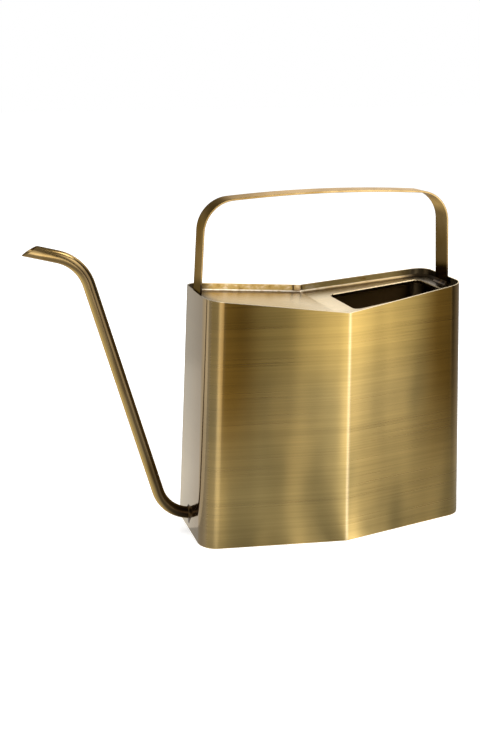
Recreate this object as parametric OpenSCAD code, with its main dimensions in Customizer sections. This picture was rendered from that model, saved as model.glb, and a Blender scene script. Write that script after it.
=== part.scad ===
// Indoor watering can in sheet brass. One folded sheet makes the tapered body, which has a
// shallow fold down the front and the back. The top is sunk below the rim and dips towards
// those folds, a thin bent tube makes the spout, and a flat strap makes the handle.
// Millimetres. The origin is the centre of the base, +Z is up and the spout leaves towards -X.

/* [Body] */
// Height of the rim at the two narrow ends
body_h = 200; // [165:1:240]
// How far the rim dips at the front and back folds
rim_dip = 12.7; // [8:0.1:18]
// Outside length at the base, from end to end
base_len = 231.5; // [193:0.5:278]
// Outside length at the rim, from end to end
top_len = 215.5; // [179:0.5:260]
// Outside depth at the base, from fold to fold
base_depth = 121; // [100:1:146]
// Outside depth at the rim, from fold to fold
top_depth = 106; // [88:1:128]
// Angle by which each side panel turns away from the long axis
panel_turn = 9.6; // [6:0.1:12]
// Outside radius of the four bends beside the narrow ends
corner_r = 16; // [12:1:20]
// Outside radius of the front and back folds
fold_r = 6; // [4:0.5:8]
// Thickness of the body and base sheet
sheet_t = 1; // [0.8:0.1:1.2]

/* [Top plate] */
// Depth of the top plate below the rim
plate_drop = 6.3; // [4:0.1:12]
// Thickness of the top plate
plate_t = 1; // [0.8:0.1:1.5]
// Distance from the centre to the near edge of the fill opening
opening_from = 16; // [6:0.5:20]
// Distance from the far edge of the fill opening to the end wall at the rim
opening_end = 11.25; // [9:0.25:30]
// Width of the fill opening at its near edge
opening_w_near = 54; // [40:1:60]
// Width of the fill opening at its far edge
opening_w_far = 45; // [30:1:50]
// Corner radius of the fill opening
opening_r = 5; // [3:0.5:8]
// Depth of the edge that is turned down round the fill opening
lip_h = 3; // [2:0.5:5]
// Width of the solder fillet where the plate meets the wall
bead_w = 1.4; // [1:0.1:2]
// Width of the strip soldered over the sheet's joint, beside the back fold
strip_w = 6.5; // [4:0.5:9]
// Thickness of that strip
strip_t = 0.6; // [0.4:0.1:0.8]

/* [Handle] */
// Gap between each foot and the end wall
handle_gap = 0.3; // [0.2:0.1:2]
// Height of the handle's top above the rim's ends
handle_rise = 74; // [60:1:95]
// Width of the strap
strap_w = 19.5; // [15:0.5:24]
// Thickness of the strap
strap_t = 1.5; // [1:0.1:2.2]
// Angle by which each leg leans in more than the end wall beside it
leg_lean = 1.2; // [0:0.1:4]
// Outside radius of the handle's two corners
handle_corner_r = 26.5; // [20:0.5:33]
// Radius of the slight arch along the handle's top
handle_arch_r = 1100; // [900:50:2000]
// Width of the solder fillet at each foot
foot_bead_w = 2.5; // [1.5:0.5:4]

/* [Spout] */
// Outside diameter of the spout tube
tube_d = 9.6; // [8:0.1:11.6]
// Wall thickness of the spout tube
tube_wall = 0.9; // [0.7:0.1:1.2]
// Height at which the spout's centre line meets the end wall
spout_z = 14.6; // [12:0.1:20]
// Angle above level at which the spout leaves the end wall
foot_rise = 11; // [4:0.5:16]
// Straight length between the end wall and the lower bend
stub_len = 1.7; // [1:0.1:8]
// Lean of the spout's long run from upright
spout_lean = 15.6; // [12:0.1:20]
// Height above the rim's ends at which the centre lines of the long run and the nose cross
spout_rise = 28.4; // [20:0.1:50]
// Angle by which the nose points above level
nose_rise = 15; // [5:0.5:25]
// Centre-line radius of the lower bend
low_bend_r = 31; // [24:1:38]
// Centre-line radius of the upper bend
high_bend_r = 32; // [24:1:38]
// Straight length of the nose, to the middle of its slanted mouth
nose_len = 20.4; // [12:0.1:30]
// Slant of the mouth from square
mouth_slant = 45; // [20:1:50]
// Width of the solder ring where the spout meets the end wall
ring_w = 1.8; // [1:0.1:2.5]

/* [Hidden] */
$fn = 96;
brass = "#a58745";
pale_brass = "#bfa97a";
dark_solder = "#4a3620";
bend_steps = 14;
fold_steps = 4;
tube_sides = 32;
opening_sides = 32;
corner_steps = 24;
arch_steps = 24;
drill_len = 40;
// A solder fillet is hollow: the middle of its face stands this share of its width out.
hollow = 1 / 3;
rim_low = body_h - rim_dip;
rim_slope = 2 * rim_dip / top_len;
plate_low = rim_low - plate_drop;
tube_bore = tube_d - 2 * tube_wall;
// How far each end wall moves out for a millimetre of height, below zero where it leans in.
wall_lean = (top_len - base_len) / (2 * body_h);
leg_splay = leg_lean - atan(wall_lean);
opening_far = top_len / 2 - sheet_t - opening_end;

// The body's plan at any height is six arcs joined by flats: a bend at each of the four
// corners and a fold at the front and the back. An arc is [side in X, side in Y, from, to].
arcs = [
    [1, 1, 0, 90 - panel_turn],
    [0, 1, 90 - panel_turn, 90 + panel_turn],
    [-1, 1, 90 + panel_turn, 180],
    [-1, -1, 180, 270 - panel_turn],
    [0, -1, 270 - panel_turn, 270 + panel_turn],
    [1, -1, 270 + panel_turn, 360]
];
stations = [
    for (arc = arcs)
        let (steps = arc[0] == 0 ? fold_steps : bend_steps)
        for (i = [0:steps]) [arc[0], arc[1], arc[2] + (arc[3] - arc[2]) * i / steps]
];
count = len(stations);
back_middle = bend_steps + 1 + fold_steps / 2;
front_middle = 3 * (bend_steps + 1) + fold_steps + 1 + fold_steps / 2;

function half_len(z) = base_len / 2 + wall_lean * z;
function half_depth(z) = (base_depth + (top_depth - base_depth) * z / body_h) / 2;
function unit(angle) = [cos(angle), sin(angle)];

// Centre of a bend or of a fold, for the quarter where X and Y are positive.
function bend_centre(z) =
    let (along = (half_len(z) - corner_r * (1 - sin(panel_turn))) / cos(panel_turn))
    [half_len(z) - corner_r,
     half_depth(z) - corner_r * cos(panel_turn) - along * sin(panel_turn)];
function fold_centre(z) = [0, half_depth(z) - fold_r / cos(panel_turn)];

function plan_point(s, z, inset) =
    let (centre = s[0] == 0 ? fold_centre(z) : bend_centre(z),
         r = (s[0] == 0 ? fold_r : corner_r) - inset)
    [s[0] * centre[0], s[1] * centre[1]] + r * unit(s[2]);

// Height at which a station's line meets the dipped surface that lies `drop` below the rim.
function dipped_z(s, inset, drop) =
    let (x_base = abs(plan_point(s, 0, inset)[0]),
         x_top = abs(plan_point(s, body_h, inset)[0]))
    (rim_low - drop + rim_slope * x_base) / (1 - rim_slope * (x_top - x_base) / body_h);

function level_ring(inset, z) = [for (s = stations) concat(plan_point(s, z, inset), z)];
function dipped_ring(inset, drop) = [
    for (s = stations)
        let (z = dipped_z(s, inset, drop))
        concat(plan_point(s, z, inset), z)
];

// Point in the can's centre plane where a leg's outer face meets the plate, or where a line
// parallel to that face does, which lies `inset` further in. side is -1 or 1.
foot_x = (base_len / 2 + wall_lean * plate_low - sheet_t - handle_gap)
    / (1 - wall_lean * rim_slope);
function foot(side, inset) =
    let (x = foot_x - inset / (cos(leg_splay) + rim_slope * sin(leg_splay)))
    [side * x, plate_low + rim_slope * x];

// Skin through rings that close on themselves, such as a wall, a tube or a fillet.
module loop_skin(rings) {
    rows = len(rings);
    points = len(rings[0]);
    faces = [
        for (k = [0:rows - 1], i = [0:points - 1])
            let (next_k = (k + 1) % rows, next_i = (i + 1) % points)
            [k * points + i, next_k * points + i,
             next_k * points + next_i, k * points + next_i]
    ];
    polyhedron([for (ring = rings) each ring], faces, convexity = 6);
}

// Solid between two rings. Each cap is two flat halves that meet along the front-to-back line.
module plug(low, high) {
    left = [for (i = [back_middle:front_middle]) i];
    right = [for (i = [front_middle:count + back_middle]) i % count];
    sides = [for (i = [0:count - 1]) [i, count + i, count + (i + 1) % count, (i + 1) % count]];
    caps = [left, right];
    tops = [for (cap = caps) [for (i = [len(cap) - 1:-1:0]) count + cap[i]]];
    polyhedron(concat(low, high), [each sides, each caps, each tops], convexity = 4);
}

module opening_plan(grow) {
    hull()
        for (side = [-1, 1]) {
            translate([opening_from + opening_r, side * (opening_w_near / 2 - opening_r)])
                circle(opening_r + grow, $fn = opening_sides);
            translate([opening_far - opening_r, side * (opening_w_far / 2 - opening_r)])
                circle(opening_r + grow, $fn = opening_sides);
        }
}

// Turns a drawing made in X and Y into one that stands in the can's centre plane.
module upright() {
    rotate([90, 0, 0]) children();
}

// ---- body ----

module body_wall() {
    color(brass)
        difference() {
            loop_skin([
                level_ring(0, 0),
                dipped_ring(0, 0),
                dipped_ring(sheet_t, 0),
                level_ring(sheet_t, 0)
            ]);
            spout_foot_place() cylinder(h = drill_len, d = tube_bore, center = true);
        }
}

module base_plate() {
    color(brass) plug(level_ring(sheet_t, 0), level_ring(sheet_t, sheet_t));
}

module top_plate() {
    color(pale_brass)
        difference() {
            union() {
                plug(dipped_ring(sheet_t, plate_drop + plate_t), dipped_ring(sheet_t, plate_drop));
                intersection() {
                    plug(dipped_ring(sheet_t, plate_drop + lip_h), dipped_ring(sheet_t, plate_drop));
                    linear_extrude(body_h) opening_plan(plate_t);
                }
            }
            linear_extrude(body_h) opening_plan(0);
        }
}

// The fillet runs all round the plate and stops at the two feet of the handle.
module plate_solder() {
    color(pale_brass)
        difference() {
            loop_skin([
                dipped_ring(sheet_t, plate_drop),
                dipped_ring(sheet_t, plate_drop - bead_w),
                dipped_ring(sheet_t + bead_w, plate_drop)
            ]);
            translate([-base_len / 2, -strap_w / 2, 0]) cube([base_len, strap_w, body_h]);
        }
}

// The strip stands on the fillet and ends at the rim.
module seam_strip() {
    color(pale_brass)
        intersection() {
            loop_skin([
                dipped_ring(sheet_t, plate_drop - bead_w),
                dipped_ring(sheet_t, 0),
                dipped_ring(sheet_t + strip_t, 0),
                dipped_ring(sheet_t + strip_t, plate_drop - bead_w)
            ]);
            translate([-strip_w, 0, 0]) cube([strip_w, base_depth, body_h]);
        }
}

// ---- spout ----

foot_point = [-half_len(spout_z), spout_z];
foot_heading = 180 - foot_rise;
run_heading = 90 + spout_lean;
nose_heading = 180 - nose_rise;
low_turn = foot_heading - run_heading;
high_turn = nose_heading - run_heading;
// Slant that lays the tube's end against the wall, which leans in as it rises.
foot_slant = foot_heading - 180 - atan(wall_lean);

low_start = foot_point + stub_len * unit(foot_heading);
low_centre = low_start + low_bend_r * unit(foot_heading - 90);
low_end = low_centre + low_bend_r * unit(run_heading + 90);
// The long run and the nose would cross here if the upper bend were sharp.
high_corner = low_end
    + unit(run_heading) * (body_h + spout_rise - low_end[1]) / cos(spout_lean);
high_start = high_corner - unit(run_heading) * high_bend_r * tan(high_turn / 2);
high_centre = high_start + high_bend_r * unit(run_heading + 90);
high_end = high_corner + unit(nose_heading) * high_bend_r * tan(high_turn / 2);
mouth = high_end + unit(nose_heading) * nose_len;

// Places along the tube, each a point and a heading. Straight runs join the two bends up.
tube_places = concat(
    [[foot_point, foot_heading]],
    [
        for (i = [0:bend_steps])
            let (heading = foot_heading - low_turn * i / bend_steps)
            [low_centre + low_bend_r * unit(heading + 90), heading]
    ],
    [
        for (i = [0:bend_steps])
            let (heading = run_heading + high_turn * i / bend_steps)
            [high_centre + high_bend_r * unit(heading - 90), heading]
    ],
    [[mouth, nose_heading]]
);

// A round section of the tube, square to the heading. A slant shears it along the heading.
function tube_ring(place, r, slant) = [
    for (j = [1:tube_sides])
        let (across = r * cos(360 * j / tube_sides),
             q = place[0] + across * unit(place[1] + 90) + across * tan(slant) * unit(place[1]))
        [q[0], -r * sin(360 * j / tube_sides), q[1]]
];
function tube_rings(r) =
    let (last = len(tube_places) - 1)
    concat(
        [tube_ring(tube_places[0], r, foot_slant)],
        [for (i = [1:last - 1]) tube_ring(tube_places[i], r, 0)],
        [tube_ring(tube_places[last], r, mouth_slant)]
    );
function reverse(list) = [for (i = [len(list) - 1:-1:0]) list[i]];

module spout_foot_place() {
    upright() translate(foot_point) rotate(foot_heading) rotate([0, 90, 0]) children();
}

// The rings run down the bore from the mouth and back up the outside.
module spout() {
    color(brass) loop_skin(concat(reverse(tube_rings(tube_bore / 2)), tube_rings(tube_d / 2)));
}

// The ring lies on the wall, with each of its edges a slanted round of the tube.
module spout_solder() {
    r = tube_d / 2;
    edges = [[0, r], [0, r + ring_w], [ring_w * hollow, r + ring_w * hollow], [ring_w, r]];
    color(dark_solder)
        loop_skin([
            for (edge = edges)
                tube_ring([foot_point + edge[0] * unit(foot_heading), foot_heading],
                          edge[1], foot_slant)
        ]);
}

// ---- handle ----

arch_centre = [0, body_h + handle_rise - handle_arch_r];

// Centre of a top corner: its radius inside both the leg's outer face and the arch.
function corner_centre(side) =
    let (start = foot(side, handle_corner_r),
         up = [-side * sin(leg_splay), cos(leg_splay)],
         from_arch = start - arch_centre,
         b = from_arch * up,
         c = from_arch * from_arch - pow(handle_arch_r - handle_corner_r, 2))
    start + up * (sqrt(b * b - c) - b);

function arc_points(centre, r, from, to, steps) = [
    for (i = [0:steps]) centre + r * unit(from + (to - from) * i / steps)
];

// One edge of the strap seen side on, from the right foot over the top to the left foot. The
// arch starts and ends on the corners' own end points, so its two ends are left out.
function strap_line(inset) =
    let (right = corner_centre(1) - arch_centre,
         from = atan2(right[1], right[0]),
         bend = handle_corner_r - inset,
         arch = arc_points(arch_centre, handle_arch_r - inset, from, 180 - from, arch_steps))
    concat(
        [foot(1, inset)],
        arc_points(corner_centre(1), bend, leg_splay, from, corner_steps),
        [for (i = [1:arch_steps - 1]) arch[i]],
        arc_points(corner_centre(-1), bend, 180 - from, 180 - leg_splay, corner_steps),
        [foot(-1, inset)]
    );

module handle() {
    color(brass)
        upright()
            linear_extrude(strap_w, center = true)
                polygon(concat(strap_line(0), reverse(strap_line(strap_t))));
}

// A fillet along the inner side of each foot, on the plate.
module handle_solder() {
    color(dark_solder)
        upright()
            for (side = [-1, 1]) {
                corner = foot(side, strap_t);
                along_plate = [-side, -rim_slope] / norm([1, rim_slope]);
                up_leg = [-side * sin(leg_splay), cos(leg_splay)];
                linear_extrude(strap_w, center = true)
                    polygon([
                        corner,
                        corner + foot_bead_w * along_plate,
                        corner + foot_bead_w * hollow * (along_plate + up_leg),
                        corner + foot_bead_w * up_leg
                    ]);
            }
}

body_wall();
base_plate();
top_plate();
plate_solder();
seam_strip();
spout();
spout_solder();
handle();
handle_solder();
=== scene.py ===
from math import cos, radians, sin, tan

import bpy
from bpy.props import FloatProperty, FloatVectorProperty, PointerProperty
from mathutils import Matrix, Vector


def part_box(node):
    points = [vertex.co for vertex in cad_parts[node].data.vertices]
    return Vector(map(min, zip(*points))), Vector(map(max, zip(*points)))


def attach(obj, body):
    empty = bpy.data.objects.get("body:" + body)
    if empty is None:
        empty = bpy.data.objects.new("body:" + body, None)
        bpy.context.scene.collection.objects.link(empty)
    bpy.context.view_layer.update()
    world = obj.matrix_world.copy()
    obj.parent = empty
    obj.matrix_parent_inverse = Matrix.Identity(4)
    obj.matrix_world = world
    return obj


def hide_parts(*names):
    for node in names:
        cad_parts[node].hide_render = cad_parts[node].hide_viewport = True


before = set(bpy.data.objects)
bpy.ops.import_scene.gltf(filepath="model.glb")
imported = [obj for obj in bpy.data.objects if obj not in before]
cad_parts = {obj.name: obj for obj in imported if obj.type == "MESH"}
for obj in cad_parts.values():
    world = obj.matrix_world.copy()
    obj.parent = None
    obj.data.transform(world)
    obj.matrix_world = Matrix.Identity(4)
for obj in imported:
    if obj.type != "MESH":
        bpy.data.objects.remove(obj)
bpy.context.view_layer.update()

bl_info = {
    "name": "Brass watering can",
    "version": (1, 0, 0),
    "blender": (4, 5, 0),
    "location": "3D View > Sidebar > Watering Can",
    "description": "Finishes the sheet, tube, strap and solder of a brushed brass watering can",
    "category": "Object",
}

MM = 0.001
# The wall is the same at both ends, and the ends lean in from the base to the rim.
WALL_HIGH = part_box("body_wall")[1]
END_LEAN = 8 * MM
RIM_HALF = WALL_HIGH.x - END_LEAN
PLATE_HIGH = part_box("top_plate")[1]
SPOUT_LOW, SPOUT_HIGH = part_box("spout")
SEAM_LOW, SEAM_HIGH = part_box("seam_strip")
SEAM_MIDDLE = (SEAM_LOW.x + SEAM_HIGH.x) / 2
SEAM_HALF = (SEAM_HIGH.x - SEAM_LOW.x) / 2


# ---- sizes and colours that a user would change ----


class CanShape(bpy.types.PropertyGroup):
    """The first three say how the sheets lie, to place the finish on them."""
    rim_dip: FloatProperty(
        name="Rim dip", description="How far the rim dips at the folds",
        default=12.7 * MM, min=0, unit="LENGTH")
    panel_turn: FloatProperty(
        name="Panel turn", description="How far each panel turns back from the fold",
        default=radians(9.6), min=0, unit="ROTATION")
    plate_drop: FloatProperty(
        name="Plate drop", description="Depth of the top plate below the rim",
        default=6.3 * MM, min=0, unit="LENGTH")
    sheet_edge: FloatProperty(
        name="Sheet edge", description="Rounding of the cut edges of the sheet",
        default=0.25 * MM, min=0, unit="LENGTH")
    lip_round: FloatProperty(
        name="Lip rounding", description="Rounding where the plate turns down round the opening",
        default=0.8 * MM, min=0, unit="LENGTH")
    mouth_edge: FloatProperty(
        name="Mouth edge", description="Rounding of the cut edge of the spout's mouth",
        default=0.2 * MM, min=0, unit="LENGTH")
    strap_edge: FloatProperty(
        name="Strap edge", description="Rounding of the strap's long edges",
        default=0.35 * MM, min=0, unit="LENGTH")
    solder_ripple: FloatProperty(
        name="Solder ripple", description="Height of the ripples along the solder",
        default=0.12 * MM, min=0, unit="LENGTH")
    drip_len: FloatProperty(
        name="Drip length", description="Length of the drip of solder below the spout",
        default=3.0 * MM, min=0, unit="LENGTH")


class CanFinish(bpy.types.PropertyGroup):
    brass: FloatVectorProperty(
        name="Brass", description="Brushed brass where it is brightest", subtype="COLOR",
        default=(0.58, 0.405, 0.145), min=0, max=1)
    gold: FloatVectorProperty(
        name="Gold", description="Warmer brass towards the rim", subtype="COLOR",
        default=(0.57, 0.385, 0.115), min=0, max=1)
    patina: FloatVectorProperty(
        name="Patina", description="Brushed brass where the patina is darkest", subtype="COLOR",
        default=(0.24, 0.130, 0.022), min=0, max=1)
    olive: FloatVectorProperty(
        name="Olive", description="Greener clouds in the patina", subtype="COLOR",
        default=(0.34, 0.25, 0.095), min=0, max=1)
    # Pale brass is also painted as highlights: on the fold, on the bends and on the lip of the fill
    # opening.
    pale: FloatVectorProperty(
        name="Pale brass", description="Top plate, inside of the rim and its raw edge",
        subtype="COLOR", default=(0.80, 0.65, 0.41), min=0, max=1)
    bronze: FloatVectorProperty(
        name="Bronze", description="Tube and strap", subtype="COLOR",
        default=(0.50, 0.35, 0.155), min=0, max=1)
    # Heat tint beside the solder; this colour is also painted as shade on the spout's inner side.
    scorch_and_shade: FloatVectorProperty(
        name="Scorch", description="Heat tint beside the solder", subtype="COLOR",
        default=(0.035, 0.022, 0.012), min=0, max=1)
    # Dark unbrushed brass, which inside the can also stands in for its shade. It is also painted as
    # shade on the plate by the front and back walls, inside the fill opening and where the plate
    # solder meets the plate. It also darkens the strap's legs and is the ground of the dark solder.
    inside: FloatVectorProperty(
        name="Inside", description="Unbrushed brass inside the can", subtype="COLOR",
        default=(0.13, 0.075, 0.025), min=0, max=1)
    solder: FloatVectorProperty(
        name="Solder", description="Bright solder along the plate", subtype="COLOR",
        default=(0.82, 0.72, 0.55), min=0, max=1)
    streak: FloatProperty(
        name="Streak width", description="Spacing of the brush lines",
        default=1.1 * MM, min=0.1 * MM, unit="LENGTH")
    wave: FloatProperty(
        name="Sheet wave", description="How far the sheet stands off from flat",
        default=0.13 * MM, min=0, unit="LENGTH")


class StudioSetup(bpy.types.PropertyGroup):
    lens: FloatProperty(
        name="Lens", description="Focal length of the camera, in millimetres",
        default=49.53, min=1)
    azimuth: FloatProperty(
        name="Azimuth", description="How far round the camera stands, from the front",
        default=radians(-17.73), unit="ROTATION")
    elevation: FloatProperty(
        name="Elevation", description="How far above level the camera looks from",
        default=radians(16.94), unit="ROTATION")
    distance: FloatProperty(
        name="Distance", description="From the camera to the point it looks at",
        default=842.9 * MM, min=0.1, unit="LENGTH")
    target: FloatVectorProperty(
        name="Target", description="The point that the camera looks at", subtype="TRANSLATION",
        default=(-62.08 * MM, 28.07 * MM, 125.71 * MM))
    key_power: FloatProperty(
        name="Key light", description="Power of the large lamp at the front right",
        default=14.0, min=0, unit="POWER")
    top_power: FloatProperty(
        name="Top light", description="Power of the large lamp overhead",
        default=16.0, min=0, unit="POWER")
    ceiling: FloatProperty(
        name="Ceiling", description="Brightness of the screen over the can",
        default=0.25, min=0)
    softbox: FloatProperty(
        name="Softbox", description="Brightness of the round lamp that the metal sees overhead",
        default=5.0, min=0)
    sky: FloatProperty(
        name="Sky", description="Strength of the even light from all round",
        default=0.55, min=0)


def shape():
    return bpy.context.scene.can_shape


def finish():
    return bpy.context.scene.can_finish


def studio():
    return bpy.context.scene.can_studio


# ---- mesh helpers ----

# Corners of a CAD node that are closer than this are one, and facets that turn less are one face.
MERGE_GAP = 0.004 * MM
FLAT_TURN = radians(0.4)
# How much of the ring's lower edge moves by the drip's whole length, and how far the pull spreads.
DRIP_TIP = 0.35 * MM
DRIP_SPREAD = 2.2 * MM


def deselect():
    if bpy.context.mode != "OBJECT":
        bpy.ops.object.mode_set(mode="OBJECT")
    bpy.ops.object.select_all(action="DESELECT")


def select_only(piece):
    deselect()
    piece.select_set(True)
    bpy.context.view_layer.objects.active = piece


def copy_of(node, name):
    """A copy of a CAD node with its corners merged and its flat facets joined into whole faces."""
    select_only(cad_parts[node])
    bpy.ops.object.duplicate()
    piece = bpy.context.active_object
    piece.name = name
    piece.data.name = name
    piece.data.materials.clear()
    for key in list(piece.keys()):
        del piece[key]
    bpy.ops.mesh.customdata_custom_splitnormals_clear()
    bpy.ops.object.mode_set(mode="EDIT")
    bpy.ops.mesh.select_all(action="SELECT")
    bpy.ops.mesh.remove_doubles(threshold=MERGE_GAP)
    bpy.ops.mesh.dissolve_limited(angle_limit=FLAT_TURN)
    bpy.ops.object.mode_set(mode="OBJECT")
    return piece


def select_edges(piece, wanted):
    """Selects the edges whose two ends both pass a test, and enters edit mode."""
    select_only(piece)
    bpy.ops.object.mode_set(mode="EDIT")
    bpy.ops.mesh.select_mode(type="EDGE")
    bpy.ops.mesh.select_all(action="DESELECT")
    bpy.ops.object.mode_set(mode="OBJECT")
    points = piece.data.vertices
    for edge in piece.data.edges:
        edge.select = all(wanted(points[v].co) for v in edge.vertices)
    bpy.ops.object.mode_set(mode="EDIT")


def round_edges(piece, width, sharpness=radians(40), segments=2):
    """Rounds every edge that turns by more than an angle."""
    select_only(piece)
    bpy.ops.object.mode_set(mode="EDIT")
    bpy.ops.mesh.select_mode(type="EDGE")
    bpy.ops.mesh.select_all(action="DESELECT")
    bpy.ops.mesh.edges_select_sharp(sharpness=sharpness)
    bpy.ops.mesh.bevel(offset=width, segments=segments, affect="EDGES", clamp_overlap=True)
    bpy.ops.object.mode_set(mode="OBJECT")


def smooth(piece, angle=radians(38), flats=True):
    """Shades a piece smooth between its creases, led by its flat faces where it has them."""
    select_only(piece)
    bpy.ops.object.shade_smooth_by_angle(angle=angle, keep_sharp_edges=False)
    if not flats:
        return
    weighted = piece.modifiers.new("Even shading", "WEIGHTED_NORMAL")
    weighted.keep_sharp = True
    weighted.weight = 80
    bpy.ops.object.modifier_apply(modifier=weighted.name)


def ripple(piece, height, grain):
    """Makes a surface uneven, as solder is."""
    select_only(piece)
    clouds = bpy.data.textures.new(piece.name + " ripple", "CLOUDS")
    clouds.noise_scale = grain
    wave = piece.modifiers.new("Ripple", "DISPLACE")
    wave.texture = clouds
    wave.texture_coords = "LOCAL"
    wave.strength = height
    wave.mid_level = 0.5
    bpy.ops.object.modifier_apply(modifier=wave.name)


def hang_drip(ring):
    """Draws the lowest part of the solder ring down along the wall into a pointed drip."""
    low = min(point.co.z for point in ring.data.vertices)
    select_edges(ring, lambda point: point.z < low + DRIP_TIP)
    bpy.ops.mesh.select_mode(type="VERT")
    down = shape().drip_len
    bpy.ops.transform.translate(
        value=(-down * END_LEAN / WALL_HIGH.z, 0, -down), use_proportional_edit=True,
        proportional_edit_falloff="SHARP", proportional_size=DRIP_SPREAD,
        use_proportional_connected=True)
    bpy.ops.object.mode_set(mode="OBJECT")


def seat(piece, node, material):
    """Gives a finished piece its material, hides the CAD node that it stands in for, and attaches
    it to its body.
    """
    piece.data.materials.clear()
    piece.data.materials.append(material)
    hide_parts(node)
    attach(piece, "root")


# ---- material helpers ----


# The tint of tube and strap where they are seen edge on.
WARM_EDGE = (0.85, 0.68, 0.45)


class Graph:
    """A material's node tree, with one Principled shader."""

    def __init__(self, name, edge_tint=(1.0, 1.0, 1.0)):
        self.material = bpy.data.materials.new(name)
        self.material.use_nodes = True
        self.tree = self.material.node_tree
        self.shader = self.tree.nodes["Principled BSDF"]
        self.shader.inputs["Metallic"].default_value = 1.0
        self.shader.inputs["Specular Tint"].default_value = colour(edge_tint)
        self.place = self.add("ShaderNodeTexCoord").outputs["Object"]
        xyz = self.add("ShaderNodeSeparateXYZ", Vector=self.place)
        self.x, self.y, self.z = xyz.outputs

    def add(self, kind, settings=None, **inputs):
        node = self.tree.nodes.new(kind)
        for key, value in (settings or {}).items():
            setattr(node, key, value)
        for key, value in inputs.items():
            self.feed(node.inputs[key.replace("_", " ")], value)
        return node

    def feed(self, socket, value):
        if isinstance(value, bpy.types.NodeSocket):
            self.tree.links.new(value, socket)
        else:
            socket.default_value = value

    def math(self, operation, a, b=0.0, c=0.0):
        node = self.tree.nodes.new("ShaderNodeMath")
        node.operation = operation
        for socket, value in zip(node.inputs, (a, b, c)):
            self.feed(socket, value)
        return node.outputs[0]

    def times(self, a, b):
        return self.math("MULTIPLY", a, b)

    def less(self, a, b):
        return self.math("SUBTRACT", a, b)

    def plus(self, value, mask, amount):
        """A value with an amount added where a mask is 1."""
        return self.math("MULTIPLY_ADD", mask, amount, value)

    def unsigned(self, value):
        return self.math("ABSOLUTE", value)

    def span(self, value, low, high):
        """Takes a value from 0 to 1 straight to a range."""
        return self.math("MULTIPLY_ADD", value, high - low, low)

    def wander(self, value, noise, amount):
        """Lets a value stray with a noise, by up to half an amount either way."""
        return self.plus(value, self.less(noise, 0.5), amount)

    def ramp(self, value, low, high, to_low=0.0, to_high=1.0):
        """Takes a value smoothly from one range to another."""
        node = self.add(
            "ShaderNodeMapRange", {"interpolation_type": "SMOOTHSTEP"},
            Value=value, From_Min=low, From_Max=high, To_Min=to_low, To_Max=to_high)
        return node.outputs["Result"]

    def noise(self, scale, detail=3.0, roughness=0.5):
        """Noise whose grain is set apart along X, Y and Z, in grains to a metre."""
        spread = self.add("ShaderNodeMapping", Vector=self.place, Scale=scale)
        node = self.add("ShaderNodeTexNoise", Vector=spread.outputs[0], Scale=1.0,
                        Detail=detail, Roughness=roughness)
        return node.outputs["Fac"]

    def mix(self, share, a, b, blend="MIX"):
        node = self.add("ShaderNodeMix", {"data_type": "RGBA", "blend_type": blend})
        for socket, value in zip((node.inputs["Factor"], node.inputs[6], node.inputs[7]),
                                 (share, colour(a), colour(b))):
            self.feed(socket, value)
        return node.outputs[2]

    def shade(self, base, factor):
        """A colour made lighter or darker by a number."""
        grey = self.add("ShaderNodeCombineXYZ", X=factor, Y=factor, Z=factor)
        return self.mix(1.0, base, grey.outputs[0], "MULTIPLY")

    def bump(self, height, depth):
        node = self.add("ShaderNodeBump", Height=height, Distance=depth, Strength=1.0)
        self.feed(self.shader.inputs["Normal"], node.outputs[0])

    def stretch_shine(self, x, y, z):
        """Sets the direction across the brush lines, along which highlights stretch."""
        node = self.add("ShaderNodeCombineXYZ", X=x, Y=y, Z=z)
        self.feed(self.shader.inputs["Tangent"], node.outputs[0])

    def set(self, **values):
        for key, value in values.items():
            self.feed(self.shader.inputs[key.replace("_", " ")], value)


def colour(value):
    """A colour with its alpha, from three numbers. A socket passes through."""
    if isinstance(value, bpy.types.NodeSocket):
        return value
    return (*value, 1.0)


def rim_gap(graph):
    """How far a point lies above the dipped line of the rim."""
    slope = shape().rim_dip / RIM_HALF
    low = WALL_HIGH.z - shape().rim_dip
    rim = graph.math("MULTIPLY_ADD", graph.unsigned(graph.x), slope, low)
    return graph.less(graph.z, rim)


def end_gap(graph):
    """How far a point lies in from the nearer end wall."""
    lean = END_LEAN / WALL_HIGH.z
    reach = graph.math("MULTIPLY_ADD", graph.z, lean, graph.unsigned(graph.x))
    return graph.less(WALL_HIGH.x, reach)


def side_gap(graph):
    """How far a point on the plate lies from the front or back wall."""
    turn = tan(shape().panel_turn)
    wall = graph.math("MULTIPLY_ADD", graph.unsigned(graph.x), -turn, PLATE_HIGH.y)
    return graph.less(wall, graph.unsigned(graph.y))


def facing_in(graph):
    """1 on faces that look towards the upright axis of the can, else 0."""
    normal = graph.add("ShaderNodeNewGeometry").outputs["Normal"]
    dot = graph.add("ShaderNodeVectorMath", {"operation": "DOT_PRODUCT"})
    graph.feed(dot.inputs[0], normal)
    level = graph.add("ShaderNodeCombineXYZ", X=graph.x, Y=graph.y)
    graph.feed(dot.inputs[1], level.outputs[0])
    return graph.ramp(dot.outputs["Value"], 0.002, -0.002)


# ---- finishes ----


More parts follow.
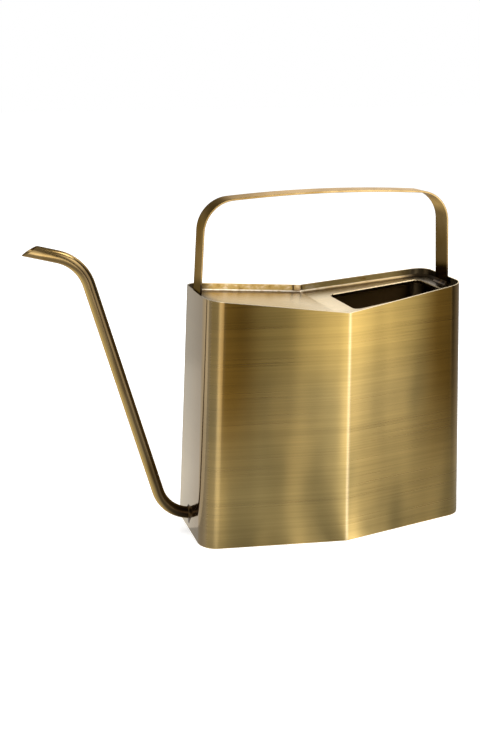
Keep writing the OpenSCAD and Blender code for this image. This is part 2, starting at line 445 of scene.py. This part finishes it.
def aged_brass(g, cloud):
    """Clouded brass with a patina that darkens upwards and towards the ends, partly a painted
    reflection of the dark studio, and that is lighter on the bends at the spout's end, partly
    from wear and partly as a painted highlight."""
    f = finish()
    ends = g.ramp(g.unsigned(g.x), 45 * MM, 95 * MM)
    # Lighter on the bends at the spout's end: partly wear, partly a painted highlight.
    bend_wear_and_highlight = g.ramp(end_gap(g), 13.75 * MM, 6.75 * MM)
    bend_wear_and_highlight = g.times(bend_wear_and_highlight, g.ramp(g.x, 10 * MM, -10 * MM, 0.0, 0.7))
    # Patina that grows upwards and towards the ends; this gradient is partly a painted reflection
    # of the dark studio.
    patina_and_dark_reflection = g.times(g.ramp(g.z, 0.0, 0.9 * WALL_HIGH.z, 0.1, 1.1), g.times(ends, g.less(1.0, bend_wear_and_highlight)))
    patina_and_dark_reflection = g.wander(patina_and_dark_reflection, cloud, 0.6)
    brass = g.mix(g.ramp(cloud, 0.66, 0.36), f.brass, f.olive)
    brass = g.mix(g.ramp(g.z, 0.55 * WALL_HIGH.z, 0.9 * WALL_HIGH.z), brass, f.gold)
    return g.mix(g.ramp(patina_and_dark_reflection, 0.0, 1.0), brass, f.patina)


def rim_lining(g):
    """Inside of the wall above the plate: mottled brass, sooty at the strap's feet and the seam."""
    f = finish()
    mottle = g.noise((150, 150, 260))
    brass = g.mix(g.ramp(mottle, 0.35, 0.55), f.pale, f.brass)
    brass = g.mix(g.ramp(g.x, -10 * MM, 30 * MM), brass, f.olive)
    brass = g.mix(g.ramp(mottle, 0.58, 0.75, 0.0, 0.7), brass, f.patina)
    left_foot = g.ramp(g.x, -80 * MM, -92 * MM)
    right_foot = g.ramp(g.x, 75 * MM, 98 * MM)
    seam = g.wander(g.unsigned(g.less(g.x, SEAM_MIDDLE)), mottle, 5 * MM)
    seam = g.ramp(seam, SEAM_HALF + 3 * MM, SEAM_HALF + 0.8 * MM)
    soot = g.math("MAXIMUM", g.math("MAXIMUM", left_foot, right_foot), seam)
    return g.mix(g.times(soot, 0.85), brass, f.scorch_and_shade)


def brushed_wall():
    """Body sheet: level brush lines, clouded patina that is partly a painted reflection, soft
    upright bands that are partly a painted reflection, a fold and bends made pale partly as painted
    highlights, a bright raw rim and a dull dark inside that also stands in for its shade.
    """
    g = Graph("Brushed brass")
    f = finish()
    fine = 1 / f.streak
    lines = g.noise((6, 6, fine), roughness=0.6)
    broad = g.noise((5, 5, fine / 5), detail=2.0)
    cloud = g.noise((18, 18, 7), detail=2.0)
    wave = g.noise((30, 30, 1.5), detail=1.0)
    # The fold is painted pale: partly wear, partly a painted highlight.
    fold = g.ramp(g.unsigned(g.x), 0.4 * MM, 2.2 * MM, 0.35, 0.0)
    base = g.mix(fold, aged_brass(g, cloud), f.pale)
    base = g.shade(base, g.ramp(lines, 0.3, 0.7, 0.935, 1.065))
    base = g.shade(base, g.ramp(broad, 0.3, 0.7, 0.95, 1.05))
    # Soft upright bands that follow the sheet's wave: partly patina, partly a painted reflection.
    base = g.shade(base, g.ramp(wave, 0.35, 0.65, 0.87, 1.09))

    inner = facing_in(g)
    above = rim_gap(g)
    drop = shape().plate_drop
    shown = g.ramp(above, -drop - 1 * MM, -drop)
    # Inside the can below the plate: dark unbrushed brass that also stands in as painted shade.
    base = g.mix(g.times(inner, g.less(1.0, shown)), base, f.inside)
    base = g.mix(g.times(inner, shown), base, rim_lining(g))
    base = g.mix(g.ramp(above, -0.5 * MM, -0.2 * MM), base, f.pale)

    gap = end_gap(g)
    # Paler on the bends: partly wear, partly a painted highlight.
    bend = g.ramp(gap, 15.75 * MM, 9.75 * MM, 0.0, 0.12)
    base = g.mix(bend, base, f.pale)
    ends = g.ramp(gap, 5.25 * MM, 1.25 * MM)
    outer = g.times(ends, g.less(1.0, inner))
    base = g.mix(g.times(outer, 0.6), base, f.solder)
    front = g.ramp(g.y, 25 * MM, -35 * MM, 0.05, 0.6)
    base = g.mix(g.times(outer, front), base, f.patina)

    rough = g.span(lines, 0.24, 0.34)
    rough = g.plus(rough, inner, 0.1)
    rough = g.plus(rough, ends, -0.16)
    g.set(Base_Color=base, Roughness=rough, Anisotropic=0.88)
    g.stretch_shine(0.0, 0.0, 1.0)
    g.bump(g.math("MULTIPLY_ADD", wave, f.wave, g.times(lines, 0.003 * MM)), 1.0)
    return g.material


def brushed_plate():
    """Top plate: pale brass with fine lines along the can, painted shade towards the front and back
    walls, a painted shadow beside the solder, and a painted highlight on the lip of the fill
    opening with painted shade inside it.
    """
    g = Graph("Pale brass")
    f = finish()
    lines = g.noise((4, 1 / f.streak, 4), detail=2.0)
    cloud = g.noise((28, 28, 28), detail=2.0)
    base = g.mix(g.ramp(g.plus(g.x, cloud, 30 * MM), -30 * MM, 35 * MM), f.gold, f.pale)
    base = g.shade(base, g.span(lines, 0.9, 1.06))
    base = g.mix(g.ramp(g.x, 0.0, 30 * MM, 0.0, 0.8), base, f.bronze)
    # Painted shade towards the front and back walls, and a darker painted shadow in the crevice
    # beside the solder.
    wall_shade = g.wander(side_gap(g), cloud, 4 * MM)
    base = g.shade(base, g.ramp(wall_shade, 36 * MM, 14 * MM, 1.0, 0.8))
    base = g.mix(g.ramp(wall_shade, 10 * MM, 7 * MM, 0.0, 0.9), base, f.inside)
    base = g.mix(g.ramp(g.x, 85 * MM, 100 * MM, 0.0, 0.85), base, f.scorch_and_shade)
    base = g.mix(g.ramp(g.x, -85 * MM, -100 * MM, 0.0, 0.8), base, f.scorch_and_shade)
    below = g.math("ADD", rim_gap(g), shape().plate_drop)
    # A painted highlight along the lip of the fill opening, and painted shade down inside it.
    base = g.mix(g.ramp(below, -0.12 * MM, -0.3 * MM), base, f.pale)
    base = g.mix(g.ramp(below, -0.7 * MM, -1.0 * MM), base, f.inside)
    g.set(Base_Color=base, Roughness=0.26, Anisotropic=0.4)
    g.stretch_shine(0.0, 1.0, 0.0)
    g.bump(lines, 0.008 * MM)
    return g.material


def tube_metal():
    """Spout: smooth bronze with clouds of patina, a painted highlight on its outer side, painted
    shade on its inner side, and black where it was heated at the wall."""
    g = Graph("Tube brass", WARM_EDGE)
    f = finish()
    cloud = g.noise((50, 50, 20), detail=2.0)
    base = g.mix(g.ramp(cloud, 0.4, 0.9), f.bronze, f.patina)
    nose = g.ramp(g.x, SPOUT_LOW.x + 62 * MM, SPOUT_LOW.x + 30 * MM, 0.0, 0.3)
    base = g.mix(nose, base, f.patina)
    normal = g.add("ShaderNodeNewGeometry").outputs["Normal"]
    turned = g.add("ShaderNodeSeparateXYZ", Vector=normal).outputs["X"]
    shank = g.ramp(g.z, SPOUT_HIGH.z - 6 * MM, SPOUT_HIGH.z - 22 * MM)
    # A painted highlight on the tube's outer side, chosen by the way its surface faces.
    painted_highlight_side = g.times(g.ramp(turned, -0.35, -0.6), shank)
    base = g.mix(painted_highlight_side, base, g.shade(f.brass, 1.25))
    # Painted shade on the tube's inner side, chosen by the way its surface faces.
    dark = g.times(g.ramp(turned, -0.42, -0.15, 0.0, 0.82), shank)
    base = g.mix(dark, base, f.scorch_and_shade)
    heated = g.ramp(g.less(SPOUT_HIGH.x, g.x), 26 * MM, 4 * MM)
    heated = g.times(heated, g.ramp(g.z, 45 * MM, 18 * MM))
    base = g.mix(heated, base, f.scorch_and_shade)
    g.set(Base_Color=base, Roughness=g.span(cloud, 0.14, 0.26))
    g.bump(cloud, 0.004 * MM)
    return g.material


def strap_metal():
    """Handle: smooth bronze with lines along the strap, dark at the two feet."""
    g = Graph("Strap brass", WARM_EDGE)
    f = finish()
    lines = g.noise((12, 900, 12))
    cloud = g.noise((45, 45, 30), detail=2.0)
    base = g.mix(g.ramp(cloud, 0.3, 0.8), f.bronze, f.patina)
    base = g.shade(base, g.span(lines, 0.9, 1.06))
    leg = g.ramp(g.z, WALL_HIGH.z + 66 * MM, WALL_HIGH.z + 10 * MM)
    leg = g.times(leg, g.ramp(g.x, -10 * MM, 10 * MM, 0.35, 0.8))
    base = g.mix(leg, base, f.inside)
    foot = g.wander(g.z, cloud, 10 * MM)
    foot = g.ramp(foot, WALL_HIGH.z + 4 * MM, WALL_HIGH.z + 13 * MM, 0.97, 0.0)
    base = g.mix(foot, base, f.scorch_and_shade)
    g.set(Base_Color=base, Roughness=g.span(cloud, 0.18, 0.28), Anisotropic=0.3)
    g.bump(lines, 0.01 * MM)
    return g.material


def flecked_solder(name, base, dark):
    """Solder: a wiped, uneven fillet with darker flecks."""
    g = Graph(name)
    fleck = g.noise((260, 260, 260))
    base = g.mix(g.ramp(fleck, 0.4, 0.7), base, dark)
    g.set(Base_Color=base, Roughness=g.span(fleck, 0.22, 0.47))
    g.bump(fleck, 0.04 * MM)
    return g.material


def plate_solder_metal():
    """Solder along the plate: wiped bright up the wall, with a painted shadow where it meets the
    plate.
    """
    g = Graph("Bright solder")
    f = finish()
    fleck = g.noise((200, 200, 200))
    base = g.mix(g.ramp(fleck, 0.45, 0.75, 0.0, 0.6), f.solder, f.bronze)
    crevice_shadow = g.wander(side_gap(g), fleck, 0.5 * MM)
    # A painted shadow in the crevice where the solder meets the plate.
    base = g.mix(g.ramp(crevice_shadow, 0.9 * MM, 1.3 * MM, 0.0, 0.9), base, f.inside)
    base = g.mix(g.ramp(g.x, -20 * MM, 50 * MM, 0.0, 0.75), base, f.bronze)
    feet = g.ramp(g.unsigned(g.x), 82 * MM, 96 * MM, 0.0, 0.9)
    base = g.mix(feet, base, f.scorch_and_shade)
    g.set(Base_Color=base, Roughness=g.span(fleck, 0.22, 0.42))
    g.bump(fleck, 0.03 * MM)
    return g.material


# ---- pieces ----


class CAN_OT_body(bpy.types.Operator):
    """Rounds the cut edges of the wall and base sheets and brushes them"""
    bl_idname = "can.body"
    bl_label = "Body sheets"

    def execute(self, context):
        metal = brushed_wall()
        for node, name in (("body_wall", "wall_sheet"), ("base_plate", "base_sheet")):
            sheet = copy_of(node, name)
            round_edges(sheet, shape().sheet_edge)
            smooth(sheet)
            seat(sheet, node, metal)
        return {"FINISHED"}


# A box that holds the edge of the fill opening and none of the plate's outer edges.
OPENING_FROM, OPENING_TO, OPENING_SIDE = 12 * MM, 97 * MM, 28.5 * MM


def on_plate_top(point):
    """True on the upper face of the plate, close round the fill opening."""
    top = PLATE_HIGH.z - (PLATE_HIGH.x - abs(point.x)) * shape().rim_dip / RIM_HALF
    around_opening = OPENING_FROM < point.x < OPENING_TO and abs(point.y) < OPENING_SIDE
    return around_opening and abs(point.z - top) < 0.3 * MM


class CAN_OT_top(bpy.types.Operator):
    """Rounds the turned-down edge of the fill opening and wipes the seam strip"""
    bl_idname = "can.top"
    bl_label = "Top plate"

    def execute(self, context):
        metal = brushed_plate()
        plate = copy_of("top_plate", "top_sheet")
        select_edges(plate, on_plate_top)
        bpy.ops.mesh.bevel(offset=shape().lip_round, segments=4, affect="EDGES")
        bpy.ops.object.mode_set(mode="OBJECT")
        smooth(plate)
        seat(plate, "top_plate", metal)
        strip = copy_of("seam_strip", "seam_cover")
        round_edges(strip, shape().sheet_edge)
        smooth(strip)
        f = finish()
        seat(strip, "seam_strip", flecked_solder("Wiped seam", f.solder, f.bronze))
        return {"FINISHED"}


class CAN_OT_spout(bpy.types.Operator):
    """Softens the mouth of the spout tube and colours its heated end"""
    bl_idname = "can.spout"
    bl_label = "Spout"

    def execute(self, context):
        tube = copy_of("spout", "spout_tube")
        round_edges(tube, shape().mouth_edge)
        smooth(tube, flats=False)
        seat(tube, "spout", tube_metal())
        return {"FINISHED"}


class CAN_OT_handle(bpy.types.Operator):
    """Rounds the strap's edges and colours its heated feet"""
    bl_idname = "can.handle"
    bl_label = "Handle"

    def execute(self, context):
        strap = copy_of("handle", "strap_handle")
        round_edges(strap, shape().strap_edge, segments=3)
        smooth(strap)
        seat(strap, "handle", strap_metal())
        return {"FINISHED"}


class CAN_OT_solder(bpy.types.Operator):
    """Makes the solder uneven and hangs a drip below the spout"""
    bl_idname = "can.solder"
    bl_label = "Solder"

    def execute(self, context):
        f = finish()
        bright = plate_solder_metal()
        dark = flecked_solder("Dark solder", f.inside, f.scorch_and_shade)
        runs = (("plate_solder", "plate_fillet", "pale_solder", bright),
                ("handle_solder", "foot_fillets", "dark_solder", dark),
                ("spout_solder", "spout_ring", "dark_solder", dark))
        for node, name, slot, metal in runs:
            run = copy_of(node, name)
            bpy.ops.object.mode_set(mode="EDIT")
            bpy.ops.mesh.select_all(action="SELECT")
            bpy.ops.mesh.quads_convert_to_tris()
            bpy.ops.mesh.subdivide(number_cuts=2)
            bpy.ops.object.mode_set(mode="OBJECT")
            if node == "spout_solder":
                hang_drip(run)
            ripple(run, height=shape().solder_ripple, grain=7 * MM)
            smooth(run, radians(60), flats=False)
            seat(run, node, metal)
        return {"FINISHED"}


# ---- stage ----

# The metal sees a ring of screens, a mat below, and a dim ceiling with one bright round lamp.
TENT_RADIUS = 0.55
TENT_HEIGHT = 0.8
# The screens change from their low to their high brightness between these two heights.
TENT_FADE = (0.1, 0.45)
MAT_HEIGHT = 0.5 * MM
ROUND_SIDES = 96
SOFTBOX_RADIUS = 0.17
SOFTBOX_PLACE = (0.21, 0.02, TENT_HEIGHT - 0.01)
# Azimuth in degrees, 0 in front and turning to the right, then the brightness there of the mat,
# of the low part of the screens and of their high part.
TENT = (
    (-178, 0.58, 0.20, 0.20),
    (-160, 0.58, 0.42, 0.10),
    (-130, 0.75, 0.70, 0.40),
    (-105, 0.70, 0.90, 0.50),
    (-85, 0.40, 0.40, 0.25),
    (-55, 0.50, 0.45, 0.20),
    (-42, 0.60, 0.60, 0.20),
    (-34, 0.90, 2.80, 1.00),
    (-17, 0.90, 2.60, 1.00),
    (-12, 0.55, 0.03, 0.03),
    (-3, 0.70, 0.03, 0.03),
    (4, 2.30, 2.00, 0.50),
    (24, 1.00, 3.00, 2.40),
    (40, 0.50, 2.20, 2.50),
    (44, 0.38, 0.60, 2.40),
    (49, 0.45, 0.20, 2.20),
    (56, 0.40, 0.05, 0.03),
    (68, 0.40, 0.05, 0.03),
    (80, 0.50, 0.25, 0.10),
    (105, 0.60, 0.35, 0.40),
    (138, 0.80, 0.60, 1.70),
    (154, 0.80, 0.40, 1.50),
    (166, 0.80, 0.20, 1.50),
    (174, 0.90, 0.20, 0.60),
)
# Which number of a row is which.
MAT, LOW, HIGH = 1, 2, 3
# A colour ramp's stops are set as shares of this brightness.
TENT_PEAK = 4.0
FLOOR_SIZE = 14.0
FLOOR_GREY = 0.85
# The glow that, with the light that falls on it, makes the floor look white.
FLOOR_GLOW = 0.56


def around(azimuth, elevation, distance):
    """A point round the can. Azimuth 0 is in front and turns to the right."""
    level = distance * cos(elevation)
    return Vector((sin(azimuth) * level, -cos(azimuth) * level, distance * sin(elevation)))


def aim(thing, target):
    thing.rotation_euler = (target - thing.location).to_track_quat("-Z", "Y").to_euler()


def lamp(name, azimuth, elevation, distance, size, power):
    """A soft square lamp that faces the middle of the can and doesn't show in the metal."""
    deselect()
    middle = Vector((0, 0, WALL_HIGH.z / 2))
    bpy.ops.object.light_add(type="AREA", location=middle + around(azimuth, elevation, distance))
    light = bpy.context.active_object
    light.name = name
    light.data.shape = "SQUARE"
    light.data.size = size
    light.data.energy = power
    light.visible_camera = False
    light.visible_glossy = False
    aim(light, middle)


def glow_material(name):
    """A material that only glows, and the socket that sets how strongly."""
    material = bpy.data.materials.new(name)
    material.use_nodes = True
    nodes, links = material.node_tree.nodes, material.node_tree.links
    nodes.clear()
    glow = nodes.new("ShaderNodeEmission")
    out = nodes.new("ShaderNodeOutputMaterial")
    links.new(glow.outputs[0], out.inputs[0])
    return material, glow.inputs["Strength"]


def plain_glow(name, strength):
    """A glow that is the same all over."""
    material, socket = glow_material(name)
    socket.default_value = strength
    return material


def screen_glow(name, low, high):
    """A glow that changes with azimuth, and with height from one column of TENT to another."""
    material, socket = glow_material(name)
    nodes, links = material.node_tree.nodes, material.node_tree.links
    place = nodes.new("ShaderNodeTexCoord").outputs["Object"]
    xyz = nodes.new("ShaderNodeSeparateXYZ")
    links.new(place, xyz.inputs[0])
    rise = nodes.new("ShaderNodeMapRange")
    rise.inputs["From Min"].default_value, rise.inputs["From Max"].default_value = TENT_FADE
    links.new(xyz.outputs["Z"], rise.inputs["Value"])
    blend = nodes.new("ShaderNodeMix")
    links.new(rise.outputs["Result"], blend.inputs["Factor"])
    links.new(column_glow(nodes, links, place, low), blend.inputs["A"])
    links.new(column_glow(nodes, links, place, high), blend.inputs["B"])
    scale = nodes.new("ShaderNodeMath")
    scale.operation = "MULTIPLY"
    scale.inputs[1].default_value = TENT_PEAK
    links.new(blend.outputs["Result"], scale.inputs[0])
    links.new(scale.outputs[0], socket)
    return material


def column_glow(nodes, links, place, column):
    """One column of TENT all the way round, as a share of TENT_PEAK."""
    turn = nodes.new("ShaderNodeTexGradient")
    turn.gradient_type = "RADIAL"
    links.new(place, turn.inputs["Vector"])
    ramp = nodes.new("ShaderNodeValToRGB")
    links.new(turn.outputs["Fac"], ramp.inputs["Fac"])
    stops = ramp.color_ramp.elements
    for row in TENT:
        # The gradient starts at the left, a quarter turn before the front.
        stop = stops.new(((row[0] + 90) % 360) / 360)
        stop.color = (row[column] / TENT_PEAK, 0, 0, 1)
    # A new ramp comes with a first and a last stop of its own.
    stops.remove(stops[0])
    stops.remove(stops[len(stops) - 1])
    red = nodes.new("ShaderNodeSeparateColor")
    links.new(ramp.outputs["Color"], red.inputs[0])
    return red.outputs["Red"]


def only_in_reflections(thing):
    thing.visible_camera = False
    thing.visible_diffuse = False
    thing.visible_shadow = False
    thing.visible_transmission = False


def seen_directly(nodes, links):
    """1 for the camera's own rays and those that metal and glass pass on, else 0."""
    path = nodes.new("ShaderNodeLightPath")
    total = path.outputs["Is Camera Ray"]
    for kind in ("Is Glossy Ray", "Is Transmission Ray"):
        either = nodes.new("ShaderNodeMath")
        either.operation = "MAXIMUM"
        links.new(total, either.inputs[0])
        links.new(path.outputs[kind], either.inputs[1])
        total = either.outputs[0]
    return total


class CAN_OT_stage(bpy.types.Operator):
    """Adds the floor, the soft lights, the screens and the camera"""
    bl_idname = "can.stage"
    bl_label = "Stage"

    def execute(self, context):
        s = studio()
        self.floor()
        self.world(context.scene)
        lamp("Key light", azimuth=radians(27), elevation=radians(38), distance=1.3, size=0.9,
             power=s.key_power)
        lamp("Top light", azimuth=radians(150), elevation=radians(75), distance=1.4, size=1.4,
             power=s.top_power)
        self.screens()
        self.disc("Mat", TENT_RADIUS, (0, 0, MAT_HEIGHT), screen_glow("Mat", MAT, MAT))
        self.disc("Ceiling", TENT_RADIUS, (0, 0, TENT_HEIGHT), plain_glow("Ceiling", s.ceiling))
        self.disc("Softbox", SOFTBOX_RADIUS, SOFTBOX_PLACE, plain_glow("Softbox", s.softbox))
        self.camera(context.scene)
        context.scene.view_settings.view_transform = "Standard"
        return {"FINISHED"}

    def screens(self):
        """Adds a ring of screens round the can that only the metal sees."""
        deselect()
        bpy.ops.mesh.primitive_cylinder_add(
            vertices=ROUND_SIDES, radius=TENT_RADIUS, depth=TENT_HEIGHT, end_fill_type="NOTHING",
            location=(0, 0, TENT_HEIGHT / 2))
        bpy.ops.object.transform_apply(location=True)
        tent = bpy.context.active_object
        tent.name = "Tent"
        tent.data.materials.append(screen_glow("Tent", LOW, HIGH))
        only_in_reflections(tent)

    def disc(self, name, radius, place, glow):
        """Adds a level disc that only the metal sees."""
        deselect()
        bpy.ops.mesh.primitive_circle_add(
            vertices=ROUND_SIDES, radius=radius, fill_type="NGON", location=place)
        bpy.ops.object.transform_apply(location=True)
        disc = bpy.context.active_object
        disc.name = name
        disc.data.materials.append(glow)
        only_in_reflections(disc)

    def floor(self):
        deselect()
        bpy.ops.mesh.primitive_plane_add(size=FLOOR_SIZE)
        floor = bpy.context.active_object
        floor.name = "Floor"
        material = bpy.data.materials.new("Floor")
        material.use_nodes = True
        nodes, links = material.node_tree.nodes, material.node_tree.links
        shader = nodes["Principled BSDF"]
        shader.inputs["Base Color"].default_value = (FLOOR_GREY, FLOOR_GREY, FLOOR_GREY, 1)
        shader.inputs["Roughness"].default_value = 0.9
        shader.inputs["Specular IOR Level"].default_value = 0.0
        shader.inputs["Emission Color"].default_value = (1, 1, 1, 1)
        glow = nodes.new("ShaderNodeMath")
        glow.operation = "MULTIPLY"
        glow.inputs[1].default_value = FLOOR_GLOW
        links.new(seen_directly(nodes, links), glow.inputs[0])
        links.new(glow.outputs[0], shader.inputs["Emission Strength"])
        floor.data.materials.append(material)

    def world(self, scene):
        """Gives an even light from all round, and pure white where it is seen."""
        world = bpy.data.worlds.new("Studio")
        scene.world = world
        world.use_nodes = True
        nodes, links = world.node_tree.nodes, world.node_tree.links
        background = nodes["Background"]
        background.inputs["Color"].default_value = (1, 1, 1, 1)
        strength = nodes.new("ShaderNodeMix")
        strength.inputs["A"].default_value = studio().sky
        strength.inputs["B"].default_value = 1.0
        links.new(seen_directly(nodes, links), strength.inputs["Factor"])
        links.new(strength.outputs["Result"], background.inputs["Strength"])

    def camera(self, scene):
        s = studio()
        target = Vector(s.target)
        deselect()
        bpy.ops.object.camera_add(location=target + around(s.azimuth, s.elevation, s.distance))
        camera = bpy.context.active_object
        camera.data.lens = s.lens
        aim(camera, target)
        scene.camera = camera


class CAN_PT_panel(bpy.types.Panel):
    bl_label = "Watering Can"
    bl_idname = "CAN_PT_panel"
    bl_space_type = "VIEW_3D"
    bl_region_type = "UI"
    bl_category = "Watering Can"

    def draw(self, context):
        for group in (context.scene.can_shape, context.scene.can_finish, context.scene.can_studio):
            box = self.layout.box()
            for name in group.__annotations__:
                box.prop(group, name)
        for step in STEPS:
            self.layout.operator(step.bl_idname)


STEPS = (CAN_OT_body, CAN_OT_top, CAN_OT_spout, CAN_OT_handle, CAN_OT_solder, CAN_OT_stage)
CLASSES = (CanShape, CanFinish, StudioSetup, *STEPS, CAN_PT_panel)


def register():
    for cls in CLASSES:
        bpy.utils.register_class(cls)
    bpy.types.Scene.can_shape = PointerProperty(type=CanShape)
    bpy.types.Scene.can_finish = PointerProperty(type=CanFinish)
    bpy.types.Scene.can_studio = PointerProperty(type=StudioSetup)


def unregister():
    del bpy.types.Scene.can_studio
    del bpy.types.Scene.can_finish
    del bpy.types.Scene.can_shape
    for cls in reversed(CLASSES):
        bpy.utils.unregister_class(cls)


def main():
    register()
    bpy.ops.can.body()
    bpy.ops.can.top()
    bpy.ops.can.spout()
    bpy.ops.can.handle()
    bpy.ops.can.solder()
    bpy.ops.can.stage()


if __name__ == "__main__":
    main()
